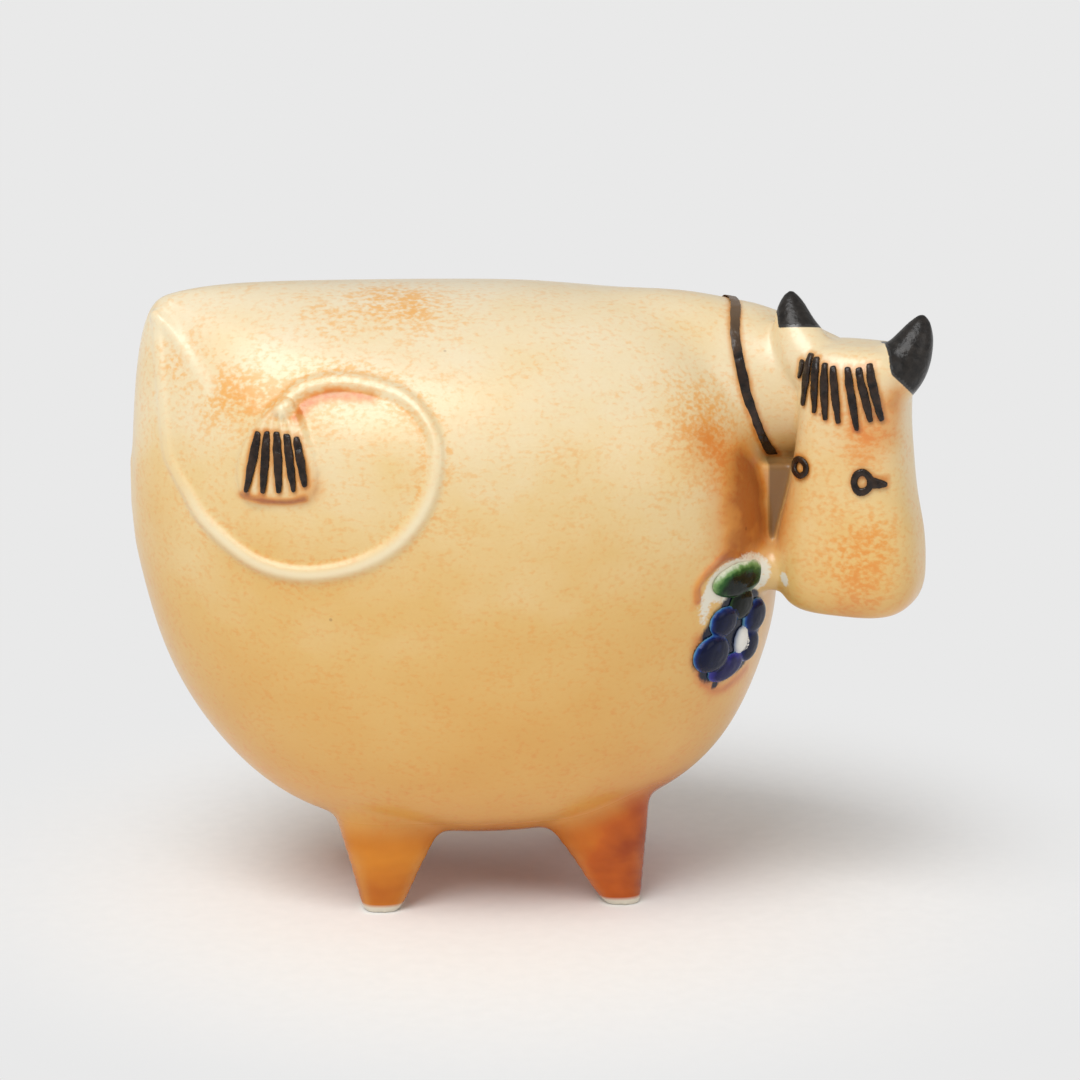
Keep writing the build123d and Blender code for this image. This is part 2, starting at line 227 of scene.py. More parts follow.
# %% [markdown]
# Raised lines. The tail is a thin coil of clay pressed onto the flank, slim at its root and round along
# its curl. The tuft is combed into ridges, two pinched folds run from the rear corner of the back, and a
# low wall of clay stands round the top of the flower. Each is a line in millimetres along which the skin
# is lifted later. The tail and the tuft are given along X and Z, as seen from the near side, and the rest
# in space.

# %% Lines on the clay
TAIL = [
    (-69.2, 112.7), (-69.3, 108.5), (-68.8, 99.4), (-68.1, 90.7), (-66.9, 87.5), (-64.6, 83.9), (-61.1, 78.7),
    (-52.9, 72.6), (-44.4, 70.9), (-34.8, 72.8), (-26.8, 77.6), (-21.3, 85.1), (-19.3, 93.3), (-20.3, 98.4),
    (-24.3, 102.9), (-31.0, 105.2), (-37.7, 105.5), (-43.6, 103.9), (-47.2, 100.6),
]
TUFT_TOP = (-47.3, 101.5)
RIDGES = [
    [TUFT_TOP, (-50.7, 97.5), (-52.5, 86.5)], [TUFT_TOP, (-49.1, 97.8), (-49.6, 86.3)],
    [TUFT_TOP, (-47.3, 97.8), (-46.8, 86.8)], [TUFT_TOP, (-45.6, 97.3), (-44.4, 87.8)],
]
FOLD = [(-69.3, -3.1, 113.5), (-66.4, -7.8, 111.0), (-63.4, -13.1, 107.0), (-60.0, -18.6, 102.8)]
UPPER_FOLD = [(-66.6, -2.5, 115.4), (-64.9, -4.4, 115.2), (-57.7, -11.1, 113.5)]
WALL = [
    (29.6, -31.8, 63.3), (29.7, -32.0, 66.3), (32.6, -30.4, 69.0), (35.7, -28.1, 70.5),
    (39.6, -24.4, 68.8), (42.6, -20.6, 66.5), (45.2, -16.2, 63.8),
]
print("corners of the tail:", len(TAIL))

# %% [markdown]
# A smooth curve is led through the corners of a line, and each point of the skin is measured against its
# short straight runs. The share tells how far along the line a point lies, so that a line can swell or
# fade.

# %% Distances from a line
FAR_OFF = 1e6


def smooth_line(corners, steps=8):
    """A curve through the corners, in short straight runs."""
    p = np.array(corners, float)
    p = np.vstack([2 * p[0] - p[1], p, 2 * p[-1] - p[-2]])
    curve = []
    for a, b, c, d in zip(p, p[1:], p[2:], p[3:]):
        square = 2 * a - 5 * b + 4 * c - d
        cube = 3 * b - a - 3 * c + d
        for t in np.arange(steps) / steps:
            curve.append(b + ((c - a) * t + square * t**2 + cube * t**3) / 2)
    return np.array(curve + [p[-2]])


def gap_to_line(corners):
    """Distance of each point of the skin from a line, and the share of the line at which it is nearest."""
    spots = points_mm(skin)
    if len(corners[0]) == 2:
        spots = np.where(spots[:, 1:2] < 0, spots, FAR_OFF)[:, [0, 2]]
    line = smooth_line(corners)
    gap = np.full(len(spots), np.inf)
    share = np.zeros(len(spots))
    for i, (a, b) in enumerate(zip(line, line[1:])):
        t = np.clip((spots - a) @ (b - a) / ((b - a) @ (b - a)), 0, 1)
        away = np.linalg.norm(spots - a - t[:, None] * (b - a), axis=1)
        share = np.where(away < gap, (i + t) / (len(line) - 1), share)
        gap = np.minimum(gap, away)
    return gap, share


print("runs of the tail:", len(smooth_line(TAIL)) - 1)

# %% [markdown]
# Fine relief needs fine faces, but only there. So the faces near these lines and round the flower are
# selected by their place and subdivided once.

# %% Divide the skin near the lines
LINE_REACH = 2.5
FLOWER_REACH = 15


def select_faces(o, flags):
    """Selects the flagged faces of a mesh and opens it for editing."""
    pick(o)
    bpy.ops.object.mode_set(mode="EDIT")
    bpy.ops.mesh.select_mode(type="FACE")
    bpy.ops.mesh.select_all(action="DESELECT")
    bpy.ops.object.mode_set(mode="OBJECT")
    o.data.polygons.foreach_set("select", flags)
    bpy.ops.object.mode_set(mode="EDIT")


flower_middle = np.mean(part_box("flower_centre"), axis=0) / MM
near = np.min([gap_to_line(line)[0] for line in (TAIL, FOLD, WALL)], axis=0) < LINE_REACH
near |= np.linalg.norm(points_mm(skin) - flower_middle, axis=1) < FLOWER_REACH
select_faces(skin, [any(near[i] for i in p.vertices) for p in skin.data.polygons])
bpy.ops.mesh.subdivide(number_cuts=1, smoothness=0)
bpy.ops.object.mode_set(mode="OBJECT")
print("points after the lines are divided:", len(skin.data.vertices))

# %% [markdown]
# The tail. Lifting moves each point out along its normal by a soft bump across the line. A bevelled curve
# laid on the flank would show a hard seam all round, while lifted clay runs into the body as the pressed
# coil does. The coil is thin down from the rump, broad round the bottom of the curl and slimmer again on
# its way up to the tuft.

# %% Lift the tail
TAIL_ROOT_HEIGHT = 0.3
TAIL_ROOT_WIDTH = 0.9
TAIL_CURL_HEIGHT = 0.9
TAIL_CURL_WIDTH = 1.5
SWELL_SHARES = (0.15, 0.42)
SLIM_SHARES = (0.58, 0.72)
SLIM_LOSS_SHARE = 0.45
FLAT_TOP = 3


def lift(amount):
    """Moves each point of the skin out along its normal, in millimetres."""
    outward = np.empty(3 * len(skin.data.vertices))
    skin.data.vertices.foreach_get("normal", outward)
    moved = points_mm(skin) + outward.reshape(-1, 3) * amount[:, None]
    skin.data.vertices.foreach_set("co", (moved * MM).ravel())
    skin.data.update()


def bump(gap, width, power=2):
    """A soft bump across a line, 1 on the line. A higher power gives a flatter top and a crisper edge."""
    return np.exp(-(np.abs(gap) / width) ** power)


gap, share = gap_to_line(TAIL)
curl = soft_step(*SWELL_SHARES, share)
slim = 1 - SLIM_LOSS_SHARE * soft_step(*SLIM_SHARES, share)
height = TAIL_ROOT_HEIGHT + (TAIL_CURL_HEIGHT - TAIL_ROOT_HEIGHT) * curl
width = TAIL_ROOT_WIDTH + (TAIL_CURL_WIDTH - TAIL_ROOT_WIDTH) * curl * slim
lift(height * bump(gap, width, FLAT_TOP))
print("tallest part of the tail in mm:", round(float(height.max()), 2))

# %% [markdown]
# The folds fade out from the corner of the back, the wall and the ridges are even, and the legs get very
# faint ribs, the marks of the tool that shaped them. The ridges fan out from one point, so their nearest
# gap is lifted once. Lifted one by one they would add up to a knob there.

# %% Lift the folds, the flower's wall, the tuft and the ribs of the legs
# A line, its height and its half width in millimetres
FOLDS = [(FOLD, 1.0, 1.3), (UPPER_FOLD, 0.4, 1.5)]
WALL_HEIGHT = 0.55
WALL_WIDTH = 0.8
RIDGE_HEIGHT = 0.3
RIDGE_WIDTH = 0.45
RIB_HEIGHT = 0.04
RIB_SPACING = 2.3
RIB_SWAY = 3
RIB_FOOT = (1.5, 4)
RIB_TOP = (16, 11)

for line, height, width in FOLDS:
    gap, share = gap_to_line(line)
    lift(height * bump(gap, width) * (1 - share))
lift(WALL_HEIGHT * bump(gap_to_line(WALL)[0], WALL_WIDTH))
ridge_gap = np.min([gap_to_line(line)[0] for line in RIDGES], axis=0)
lift(RIDGE_HEIGHT * bump(ridge_gap, RIDGE_WIDTH))
x, _, z = points_mm(skin).T
ribs = np.sin(2 * np.pi * z / RIB_SPACING + np.sin(x / RIB_SWAY))
lift(RIB_HEIGHT * ribs * soft_step(*RIB_FOOT, z) * soft_step(*RIB_TOP, z))
print("lines lifted:", len(FOLDS) + len(RIDGES) + 2)

# %% [markdown]
# Where the glaze changes. Iron in the clay breaks through where the glaze runs thin or gathers against an
# edge. The changes could be painted on an image, but a mask stored on the points needs no image and
# follows the relief. First the legs: they fire brown, fade out on the belly, a little higher at the
# front, and stay paler on their arrises. An arris is where the skin faces neither along X nor along Y.

# %% Mask of the brown legs
LEG_TOP = 17
LEG_FADE = 4
FRONT_RISE = 6
FRONT_FROM = (4, 26)
ARRIS_HEIGHTS = (14, 9)
ARRIS_LOSS_SHARE = 0.4
ARRIS_SOFTNESS = 0.02


def store(name, values):
    """Keeps a mask on the points of the skin."""
    layer = skin.data.attributes.new(name, "FLOAT", "POINT")
    layer.data.foreach_set("value", np.clip(values, 0, 1))


points = points_mm(skin)
x, _, z = points.T
normals = np.array([n.vector for n in skin.data.vertex_normals])
along, across = normals[:, 0] ** 2, normals[:, 1] ** 2
arris = (4 * along * across / (along + across + ARRIS_SOFTNESS) ** 2) ** 2 * soft_step(*ARRIS_HEIGHTS, z)
edge = LEG_TOP + FRONT_RISE * soft_step(*FRONT_FROM, x)
store("brown", soft_step(edge + LEG_FADE, edge - LEG_FADE, z) * (1 - ARRIS_LOSS_SHARE * arris))
print("points under brown glaze:", int((z < edge).sum()))

# %% [markdown]
# Raised clay stays pale, because the glaze runs off it: the tail, most at the bottom of its curl, and the
# ridges of the tuft. Along the crest of the fold the pale is a painted highlight. Orange specks gather in
# clouds and beside the tail. A cloud is made from soft balls, each with a place, a radius and a strength.

# %% Masks of the pale clay, the painted highlight on the fold and the orange specks
LOW_CURL_START_SHARES = (0.22, 0.36)
LOW_CURL_END_SHARES = (0.72, 0.58)
PALE_TAIL = 0.25
PALE_LOW_CURL = 0.55
PALE_TAIL_WIDTH = 1.2
# Painted highlight along the crest of the fold: its strength and its half width in millimetres
PAINTED_FOLD_HIGHLIGHT = 0.6
PAINTED_FOLD_HIGHLIGHT_WIDTH = 1.4
PALE_RIDGE = 0.4
BESIDE_TAIL = 0.5
BESIDE_TAIL_GAP = 2.2
BESIDE_TAIL_WIDTH = 0.9
ORANGE = [
    (-26, -8, 117, 9, 0.8), (-21, -13, 116, 8, 0.6), (-38, -15, 114, 8, 0.4), (-57, -21, 102, 6, 0.9),
    (-51, -24, 103, 6, 0.9), (-39, -28, 103, 7, 0.8), (-26, -32, 102, 6, 0.5), (-66, -12, 106, 6, 0.6),
    (61, -30, 93, 6, 0.9), (58, -31, 70, 7, 0.7), (63, -32, 74, 6, 0.7), (61, -32, 64, 6, 0.5),
    (54, -27, 81, 5, 0.4), (33, -26, 92, 10, 0.7), (31, -25, 96, 8, 0.6),
]


def balls(rows):
    """Adds up soft balls at the points of the skin."""
    total = np.zeros(len(points))
    for bx, by, bz, radius, strength in rows:
        total += strength * np.exp(-(((points - (bx, by, bz)) / radius) ** 2).sum(axis=1))
    return np.minimum(total, 1)


gap, share = gap_to_line(TAIL)
low_curl = soft_step(*LOW_CURL_START_SHARES, share) * soft_step(*LOW_CURL_END_SHARES, share)
pale = (PALE_TAIL + PALE_LOW_CURL * low_curl) * bump(gap, PALE_TAIL_WIDTH)
# Painted highlight along the fold, kept in the pale mask
pale += PAINTED_FOLD_HIGHLIGHT * bump(gap_to_line(FOLD)[0], PAINTED_FOLD_HIGHLIGHT_WIDTH)
store("pale", pale + PALE_RIDGE * bump(ridge_gap, RIDGE_WIDTH))
store("orange", balls(ORANGE) + BESIDE_TAIL * bump(gap - BESIDE_TAIL_GAP, BESIDE_TAIL_WIDTH) * curl)
print("balls of orange specks:", len(ORANGE))

# %% [markdown]
# Iron stains and painted shade. The chest behind the head, the brow below the near horn and the front legs
# go red brown, in soft balls again; on the chest under the head and on the front legs this is iron and
# painted shade together. Other stains follow a line: the foot of the tuft and the flower's wall. Inside
# the tail's upper arc the brown is pooled glaze and painted shade, and along the lower rim of the petals it
# is painted shade under them. Every slip line has a faint brown edge.

# %% Mask of the iron stains and painted shade
SLIP = ["collar_line", "eye_near", "eye_far"]
SLIP += ["fringe_stroke_%d" % i for i in range(1, 9)] + ["tuft_stroke_%d" % i for i in range(1, 6)]
# The balls on the chest behind the head and on both front legs are partly painted shade
WARM = [
    (41.2, -21.5, 80.0, 5.5, 0.9), (41.9, -21.2, 73.5, 4.5, 0.9), (39.8, -21.5, 86.0, 5.0, 0.8),
    (36.9, -26.0, 79.0, 6.0, 0.45), (33.4, -26.0, 91.0, 6.0, 0.3), (37.4, -26.6, 72.0, 4.0, 0.6),
    (66.9, -28.5, 100.0, 3.2, 0.45), (64.8, -30.0, 95.5, 4.0, 0.15),
    (21.0, -18.4, 8.0, 12.0, 0.95), (21.0, 18.4, 8.0, 12.0, 0.95),
    (-42.6, -33.6, 87.2, 2.2, 0.5), (-43.6, -33.4, 90.0, 1.8, 0.35), (62.0, -30.5, 94.0, 6.0, 0.3),
    (60.0, -31.0, 58.0, 5.0, 0.25), (70.0, -29.0, 60.0, 4.0, 0.25),
]
TUFT_FOOT = [(-54.6, 84.9), (-51.0, 84.4), (-47.0, 84.4), (-43.6, 85.3)]
# Pooled glaze and painted shade inside the tail's upper arc
SHADE_UNDER_TAIL_ARC = [(-31.0, 103.3), (-37.7, 103.6), (-42.0, 102.2), (-44.4, 99.5)]
# Painted shade under the lower rim of the petals
SHADE_UNDER_PETALS = [
    (30.2, -30.5, 55.2), (30.0, -29.9, 51.1), (31.6, -27.7, 46.4), (35.2, -23.6, 43.2), (40.8, -18.0, 45.3),
]
# A line, the strength of its stain or painted shade and its half width in millimetres
STAIN_AND_SHADE_LINES = [(TUFT_FOOT, 0.9, 0.75), (SHADE_UNDER_TAIL_ARC, 0.55, 1.2), (WALL, 0.8, 0.9), (SHADE_UNDER_PETALS, 0.5, 1.4)]
SLIP_STAIN = 0.45
SLIP_STAIN_REACH = 1.1
SLIP_STAIN_FULL = 0.2


def nearness(node, reach, full):
    """1 at points of the skin within full of a CAD node, 0 beyond reach, in millimetres."""
    return soft_step(reach, full, gap_mm(node, reach))


stain_and_shade = balls(WARM)
for line, strength, width in STAIN_AND_SHADE_LINES:
    stain_and_shade += strength * bump(gap_to_line(line)[0], width)
slip_edge = np.max([nearness(n, SLIP_STAIN_REACH, SLIP_STAIN_FULL) for n in SLIP], axis=0)
store("warm", stain_and_shade + SLIP_STAIN * slip_edge)
print("stained lines:", len(STAIN_AND_SHADE_LINES) + len(SLIP))

# %% [markdown]
# The ground of the flower. A white under-glaze shows round the leaf, down the left of the petals and as a
# dab on the chin. Dark glaze has run between the petals, stands in a thin rim round them and hangs in one
# drip below.

# %% Masks of the flower's ground
PETALS = ["flower_petal_%d" % i for i in range(1, 6)]
WHITE = [
    (31.6, -30.8, 63.6, 1.7, 0.7), (31.4, -31.0, 61.0, 1.7, 0.65), (31.2, -30.9, 58.6, 1.3, 0.55),
    (47.2, -23.4, 65.1, 0.9, 1), (47.4, -23.6, 64.0, 0.9, 1),
]
WHITE_LEAF = 0.7
WHITE_LEAF_REACH = 2.2
WHITE_LEAF_FULL = 0.5
DRIP = [(34.2, -25.6, 44.7, 1.2, 1)]
DRIP_EDGE = (0.4, 0.6)
PETAL_REACH = 3
PETAL_FULL = 0.5
RUN_TOGETHER = (0.9, 1.3)
RIM = (0.35, 0.1)

leaf_ground = nearness("flower_leaf", WHITE_LEAF_REACH, WHITE_LEAF_FULL)
store("white", balls(WHITE) + WHITE_LEAF * leaf_ground)
petal_gaps = [gap_mm(n, PETAL_REACH) for n in PETALS + ["flower_centre", "flower_stem"]]
between = soft_step(*RUN_TOGETHER, sum(soft_step(PETAL_REACH, PETAL_FULL, g) for g in petal_gaps))
rim = soft_step(*RIM, np.min(petal_gaps, axis=0))
drip = soft_step(*DRIP_EDGE, balls(DRIP))
store("pool", np.max([between, rim, drip], axis=0))
print("points under dark glaze:", int((between + rim + drip > 0).sum()))

# %% [markdown]
# In the throat the near side of the web is painted grey brown as shade, deep in the recess between chest
# and head. The dark glaze of each horn ends on a plane across its root, given by a point in millimetres and
# a direction. The skin there has been sponged, so how far it may lie from the CAD horn is given too.

# %% Masks of the painted shade in the throat and of the horns
THROAT_FRONT = (44.7, 45.4)
WEB_REACH = 1.0
WEB_FULL = 0.2
HORN_EDGES = {
    "horn_near": ((67.3, -26, 103.4), (0.68, 0.08, 0.73), 2.6),
    "horn_far": ((49.0, -14, 110.9), (0.02, 0.26, 0.97), 1.4),
}
HORN_EDGE_FADE = 0.5
HORN_REACH_FADE = 0.6
HORN_BACK = (0.5, 0.9)

web_near, web_far = [corner[1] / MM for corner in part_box("throat_web")]
# Painted shade in the throat, on the near side of the web only
in_throat = soft_step(*THROAT_FRONT, points[:, 0]) * soft_step(web_far, web_near, points[:, 1])
store("throat", nearness("throat_web", WEB_REACH, WEB_FULL) * in_throat)
horn_dark = np.zeros(len(points))
for n, (place, toward, reach) in HORN_EDGES.items():
    ahead = (points - place) @ toward / np.linalg.norm(toward)
    beyond = soft_step(*HORN_BACK, points[:, 0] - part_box(n)[0][0] / MM)
    close = nearness(n, reach, reach - HORN_REACH_FADE)
    horn_dark = np.maximum(horn_dark, soft_step(-HORN_EDGE_FADE, HORN_EDGE_FADE, ahead) * close * beyond)
store("horn", horn_dark)
print("masks:", [a.name for a in skin.data.attributes if a.data_type == "FLOAT"])

# %% [markdown]
# Pieces. The skin is cut back into the parts it came from, so each can be reused alone. A face goes to
# the nearest CAD part, and a horn is what is wholly dark. Every point keeps the normal of the whole skin,
# so no seam shows between pieces.

# %% Find the owner of each face
WHOLLY_DARK = 0.9
BOX_MARGIN = 3 * MM
boxes = {n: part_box(n) for n in CLAY if n not in HORNS}


def owner(face):
    """The part that this face of the skin belongs to."""
    point = face.center
    if min(horn_dark[i] for i in face.vertices) > WHOLLY_DARK:
        return min(HORNS, key=lambda n: trees[n].find_nearest(point)[3])
    found = []
    for n, (low, high) in boxes.items():
        if all(low[i] - BOX_MARGIN < point[i] < high[i] + BOX_MARGIN for i in range(3)):
            found.append((trees[n].find_nearest(point)[3], n))
    return min(found)[1]


faces = skin.data.polygons
skin_tree = BVHTree.FromPolygons([v.co for v in skin.data.vertices], [p.vertices for p in faces])
layer = skin.data.attributes.new("normal_of_skin", "FLOAT_VECTOR", "POINT")
layer.data.foreach_set("vector", [c for n in skin.data.vertex_normals for c in n.vector])
layer = skin.data.attributes.new("owner", "INT", "FACE")
layer.data.foreach_set("value", [CLAY.index(owner(p)) for p in faces])
print("faces with an owner:", len(faces))

# %% [markdown]
# Each part's faces are selected by their owner and separated, and what is left is the body. Its mesh is
# finer than it needs to be, so a Decimate modifier takes away half of its triangles, and the kept normals
# hide that.

# %% Cut the skin into its pieces
BODY_KEPT_SHARE = 0.5

pieces = {}
for n in CLAY[1:]:
    select_faces(skin, [a.value == CLAY.index(n) for a in skin.data.attributes["owner"].data])
    bpy.ops.mesh.separate(type="SELECTED")
    bpy.ops.object.mode_set(mode="OBJECT")
    pieces[n] = [o for o in bpy.context.selected_objects if o != skin][0]
    pieces[n].name = "glazed_" + n
pieces["body_shell"] = skin
skin.name = "glazed_body_shell"
apply_modifier(skin, "DECIMATE", ratio=BODY_KEPT_SHARE)
for o in pieces.values():
    o.data.shade_smooth()
    kept = [a.vector for a in o.data.attributes["normal_of_skin"].data]
    o.data.normals_split_custom_set_from_vertices(kept)
    o.data.calc_loop_triangles()
    print(o.name, len(o.data.loop_triangles), "triangles")

# %% [markdown]
# Dark slip. The fringe, the eyes, the tuft and the collar were trailed with thick slip from a fine
# nozzle, so each stroke stands up a little with a round back and an uneven edge. A bevel could round
# them, but not unevenly. So each is remeshed finely, smoothed, swollen until it bites into the glaze
# below, and pushed a little out of true by a smooth noise. The near eye ends in a drop, and the collar
# lies nearly flush.

# %% Shape of the eye's drop and of the collar
# The drop starts this many ring radii from the ring's left side
DROP_START = 1.6
DROP_ROOT_SHARE = 1.25
DROP_TIP_LOSS_SHARE = 0.9
DROP_SAG = 0.35
DROP_BLEND_SHARE = 0.4
DROP_ROUNDS = 12
COLLAR_HEIGHT = 0.35 * MM
COLLAR_PRESS_SHARE = 0.8


def draw_drop(eye):
    """Draws the tail of the near eye out into a drop. The ring fills the left of the eye's box."""
    spots = points_mm(eye)
    low, high = spots.min(axis=0), spots.max(axis=0)
    ring = (high[2] - low[2]) / 2
    start = low[0] + DROP_START * ring
    out = np.clip((spots[:, 0] - start) / (high[0] - start), 0, 1)
    middle = low[2] + ring
    swell = DROP_ROOT_SHARE - DROP_TIP_LOSS_SHARE * out**2
    spots[:, 2] = middle + (spots[:, 2] - middle) * swell - DROP_SAG * out
    eye.data.vertices.foreach_set("co", (spots * MM).ravel())
    sponge(eye, soft_step(0, DROP_BLEND_SHARE, out), DROP_ROUNDS)


def press_collar(collar):
    """Presses down what stands high above the skin."""
    for v in collar.data.vertices:
        ground, normal, _, _ = skin_tree.find_nearest(v.co)
        over = max(0, (v.co - ground).dot(normal) - COLLAR_HEIGHT)
        v.co -= normal * over * COLLAR_PRESS_SHARE


print("slip lines to trail:", len(SLIP))

# %% [markdown]
# Every line is then trailed in the same way. The noise moves a point by about a tenth of a millimetre, in
# waves about as long as a stroke is wide.

# %% Trail the slip lines
SLIP_CELL = 0.15 * MM
SLIP_ROUNDS = 6
SLIP_SWELL = 0.19 * MM
COLLAR_SWELL = 0.08 * MM
WOBBLE_LENGTH = 1.7 * MM
WOBBLE = 0.13 * MM

for n in SLIP:
    o = copy_nodes("trailed_" + n, [n])
    apply_modifier(o, "REMESH", mode="VOXEL", voxel_size=SLIP_CELL)
    smooth(o, SLIP_ROUNDS)
    if n == "eye_near":
        draw_drop(o)
    swell = COLLAR_SWELL if n == "collar_line" else SLIP_SWELL
    apply_modifier(o, "DISPLACE", strength=swell, mid_level=0)
    if n == "collar_line":
        press_collar(o)
    for v in o.data.vertices:
        v.co += noise.noise_vector(v.co / WOBBLE_LENGTH) * WOBBLE
    o.data.shade_smooth()
    pieces[n] = o
print("slip lines trailed:", len(SLIP))

# %% [markdown]
# The flower. A leaf and a stem of green glaze and five petals of blue and violet were laid on thick and
# ran together in the fire. Modelled one by one they would look like beads, so they are swollen, joined by
# one remesh, smoothed and pressed down a little, and cut apart again later. The glaze is darkest where it
# is thickest and breaks lighter at the rim, so each point keeps its height off the body.

# %% Run the flower together
FLOWER = ["flower_leaf", "flower_stem", "flower_centre"] + PETALS
FLOWER_SWELL = 0.12 * MM
FLOWER_CELL = 0.2 * MM
FLOWER_ROUNDS = 9
GLAZE_FLATNESS_SHARE = 0.68
FULL_THICKNESS = 1.25 * MM

flower = copy_nodes("flower", FLOWER)
apply_modifier(flower, "DISPLACE", strength=FLOWER_SWELL, mid_level=0)
apply_modifier(flower, "REMESH", mode="VOXEL", voxel_size=FLOWER_CELL)
smooth(flower, FLOWER_ROUNDS)
thick = []
for v in flower.data.vertices:
    ground, _, _, height = trees["body_shell"].find_nearest(v.co)
    v.co = ground + (v.co - ground) * GLAZE_FLATNESS_SHARE
    thick.append(GLAZE_FLATNESS_SHARE * height / FULL_THICKNESS)
labels = []
for p in flower.data.polygons:
    labels.append(min(FLOWER, key=lambda n: trees[n].find_nearest(p.center)[3]))
print("faces of the flower:", len(labels))

# %% [markdown]
# The leaf is flatter than its colour tells: its green is nearly black low in the middle and fades to
# white at the top. So its thickness is set by the plan. The two main directions of its points, found by a
# singular value decomposition, give the leaf's own length and height.

# %% Thickness of the leaf
LEAF_CORE = 1.42
LEAF_LENGTH_SHARE = 0.92
LEAF_DROP_SHARE = 0.28

thick = np.array(thick)
leaf = set()
for p, label in zip(flower.data.polygons, labels):
    if label == "flower_leaf":
        leaf.update(p.vertices)
leaf = sorted(leaf)
plan = points_mm(flower)[leaf]
plan -= plan.mean(axis=0)
axes = np.linalg.svd(plan, full_matrices=False)[2]
side = plan @ axes[0]
up = plan @ (axes[1] * np.sign(axes[1][2]))
thick[leaf] = LEAF_CORE - np.hypot(LEAF_LENGTH_SHARE * side / side.max(), up / up.max() + LEAF_DROP_SHARE)
layer = flower.data.attributes.new("thick", "FLOAT", "POINT")
layer.data.foreach_set("value", np.clip(thick, 0, 1))
flower.data.shade_smooth()
print("points of the leaf:", len(leaf))

# %% [markdown]
# Each piece of the flower is a copy of the glaze that ran together, from which all faces but its own are
# deleted. So neighbours still meet exactly.

# %% Cut the flower apart
for n in FLOWER:
    pick(flower)
    bpy.ops.object.duplicate()
    o = bpy.context.active_object
    o.name = "pooled_" + n
    select_faces(o, [label != n for label in labels])
    bpy.ops.mesh.delete(type="FACE")
    bpy.ops.object.mode_set(mode="OBJECT")
    pieces[n] = o
    print(o.name, len(o.data.polygons), "faces")
bpy.data.objects.remove(flower)

# %% [markdown]
# Materials. Colours are written as they look on a screen and turned to linear light. One helper adds a
# node with its settings, links what is a socket, colours a ramp from its stops and gives back one output.

# %% Colour and node helpers
def colour(text):
    """Linear colour from a hex string."""
    parts = [int(text[i:i + 2], 16) / 255 for i in (0, 2, 4)]
    return [c / 12.92 if c <= 0.04045 else ((c + 0.055) / 1.055) ** 2.4 for c in parts] + [1]


def add(tree, kind, inputs, out=0, stops=(), **settings):
    """Adds a node and gives back one of its outputs."""
    node = tree.nodes.new("ShaderNode" + kind)
    for key, value in settings.items():
        setattr(node, key, value)
    for key, value in inputs.items():
        if isinstance(value, bpy.types.NodeSocket):
            tree.links.new(value, node.inputs[key])
        else:
            node.inputs[key].default_value = value
    for i, (place, text) in enumerate(stops):
        bar = node.color_ramp.elements
        element = bar[i] if i < 2 else bar.new(place)
        element.position = place
        element.color = colour(text)
    return node.outputs[out]


def material(name):
    """A new material with its tree and its shader."""
    m = bpy.data.materials.new(name)
    m.use_nodes = True
    return m, m.node_tree, m.node_tree.nodes["Principled BSDF"]


print("straw in linear light:", [round(c, 3) for c in colour("e5b969")])

# %% [markdown]
# The body glaze is a satin straw glaze over an iron clay. It is cream where it lies thick on the back,
# straw on the flanks and ochre towards the belly, and part of this darkening downwards is painted shade,
# as the light falls from above. Its unevenness comes from four noises of real sizes: clouds, patches, soft
# specks about 1 mm wide and a finer grain. They are stretched a little along the body, as the glaze was
# poured.

# %% Noises and masks of the straw glaze
# Size in millimetres and detail of each noise
NOISES = {"cloud": (17, 3), "patch": (5, 2), "speck": (0.9, 3), "grain": (0.5, 2)}
POUR_STRETCH = (0.75, 0.85, 1.1)
MASKS = ("brown", "warm", "orange", "pale", "white", "throat", "pool", "horn")


def read_skin(t):
    """The place on the cow, the masks of the skin and the noises of the glaze."""
    place = add(t, "TexCoord", {}, "Object")
    mask = {k: add(t, "Attribute", {}, "Fac", attribute_name=k) for k in MASKS}
    poured = add(t, "Mapping", {"Vector": place, "Scale": POUR_STRETCH})
    spread = {}
    for k, (size, detail) in NOISES.items():
        inputs = {"Vector": poured, "Scale": 1 / (size * MM), "Detail": detail}
        spread[k] = add(t, "TexNoise", inputs, "Fac")
    return place, mask, spread


print("noises in mm:", {k: size for k, (size, _) in NOISES.items()})

# %% [markdown]
# Each change of the glaze is a layer: how it blends, how much of it shows, and its colour. Specks and
# stains multiply what lies below, as thin iron does, because mixing a dark brown into cream turns it
# pink. First come the grain, the specks and a few dark iron spots, about 13 mm apart.

# %% Layers of specks
SPOT_SPACING = 13 * MM
SPOT_EDGE = {"From Min": 0.035, "From Max": 0.02, "To Max": 0.45}


def speck_layers(t, place, mask, spread):
    """Grain, orange specks that crowd in the clouds, and iron spots."""
    grain = add(t, "Math", {0: spread["grain"], 1: 0.14}, operation="MULTIPLY")
    crowd = add(t, "Math", {0: mask["orange"], 1: 0.17, 2: spread["speck"]}, operation="MULTIPLY_ADD")
    crowd = add(t, "Math", {0: spread["patch"], 1: 0.35, 2: crowd}, operation="MULTIPLY_ADD")
    inputs = {"Value": crowd, "From Min": 0.64, "From Max": 0.98}
    fleck = add(t, "MapRange", inputs, interpolation_type="SMOOTHSTEP")
    depth = add(t, "Math", {0: mask["orange"], 1: 0.5, 2: 0.45}, operation="MULTIPLY_ADD")
    fleck = add(t, "Math", {0: fleck, 1: depth}, operation="MULTIPLY")
    spot = add(t, "TexVoronoi", {"Vector": place, "Scale": 1 / SPOT_SPACING}, "Distance")
    spot = add(t, "MapRange", {"Value": spot, **SPOT_EDGE})
    return [
        ("MIX", grain, colour("d0943c")),
        ("MULTIPLY", fleck, colour("ffcc80")),
        ("MIX", spot, colour("8a4f1c")),
    ]


